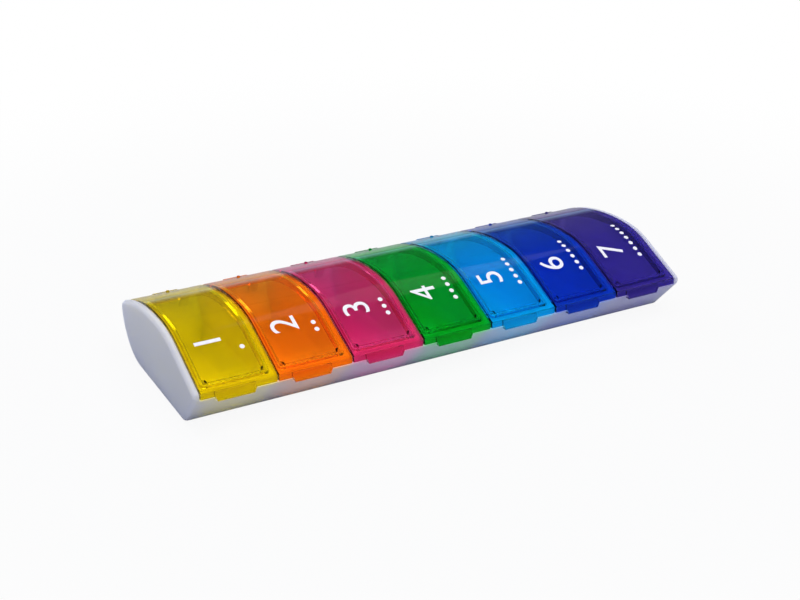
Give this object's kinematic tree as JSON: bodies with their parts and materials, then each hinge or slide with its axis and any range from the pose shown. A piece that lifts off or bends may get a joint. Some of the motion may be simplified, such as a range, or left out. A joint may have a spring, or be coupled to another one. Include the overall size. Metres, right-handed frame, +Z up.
{
  "type": "pill organizer",
  "caption": "Slim weekly pill organizer: white moulded tray with a row of compartments, each under its own curved translucent flap lid with a front finger tab and a rear hinge.",
  "frame": {"origin": "centre of the bounding box's base, on the surface that the organizer stands on", "axes": "+X along the row of compartments, towards the last lid; +Y towards the hinges, away from the finger tabs; +Z up"},
  "size_m": [0.1718, 0.064, 0.0241],
  "materials": {
    "white_plastic": "moulded, smooth, slightly satin",
    "yellow_clear_plastic": "polished mould, translucent tint",
    "orange_clear_plastic": "polished mould, translucent tint",
    "pink_clear_plastic": "polished mould, translucent tint",
    "green_clear_plastic": "polished mould, translucent tint",
    "cyan_clear_plastic": "polished mould, translucent tint",
    "blue_clear_plastic": "polished mould, translucent tint",
    "purple_clear_plastic": "polished mould, translucent tint",
    "steel_wire": "drawn wire"
  },
  "bodies": {
    "base": {"tray": "white_plastic", "hinge_pin_1": "steel_wire", "hinge_pin_2": "steel_wire", "hinge_pin_3": "steel_wire", "hinge_pin_4": "steel_wire", "hinge_pin_5": "steel_wire", "hinge_pin_6": "steel_wire", "hinge_pin_7": "steel_wire"},
    "flap_1": {"lid_1_yellow": "yellow_clear_plastic"},
    "flap_2": {"lid_2_orange": "orange_clear_plastic"},
    "flap_3": {"lid_3_pink": "pink_clear_plastic"},
    "flap_4": {"lid_4_green": "green_clear_plastic"},
    "flap_5": {"lid_5_cyan": "cyan_clear_plastic"},
    "flap_6": {"lid_6_blue": "blue_clear_plastic"},
    "flap_7": {"lid_7_purple": "purple_clear_plastic"}
  },
  "joints": [
    {"name": "flap_1_hinge", "type": "hinge", "parent": "base", "child": "flap_1", "pos_m": [-0.072, 0.029, 0.01654], "axis": [-1, 0, 0], "range_deg": [0, 115]},
    {"name": "flap_2_hinge", "type": "hinge", "parent": "base", "child": "flap_2", "pos_m": [-0.048, 0.029, 0.01654], "axis": [-1, 0, 0], "range_deg": [0, 115]},
    {"name": "flap_3_hinge", "type": "hinge", "parent": "base", "child": "flap_3", "pos_m": [-0.024, 0.029, 0.01654], "axis": [-1, 0, 0], "range_deg": [0, 115]},
    {"name": "flap_4_hinge", "type": "hinge", "parent": "base", "child": "flap_4", "pos_m": [0, 0.029, 0.01654], "axis": [-1, 0, 0], "range_deg": [0, 115]},
    {"name": "flap_5_hinge", "type": "hinge", "parent": "base", "child": "flap_5", "pos_m": [0.024, 0.029, 0.01654], "axis": [-1, 0, 0], "range_deg": [0, 115]},
    {"name": "flap_6_hinge", "type": "hinge", "parent": "base", "child": "flap_6", "pos_m": [0.048, 0.029, 0.01654], "axis": [-1, 0, 0], "range_deg": [0, 115]},
    {"name": "flap_7_hinge", "type": "hinge", "parent": "base", "child": "flap_7", "pos_m": [0.072, 0.029, 0.01654], "axis": [-1, 0, 0], "range_deg": [0, 115]}
  ]
}
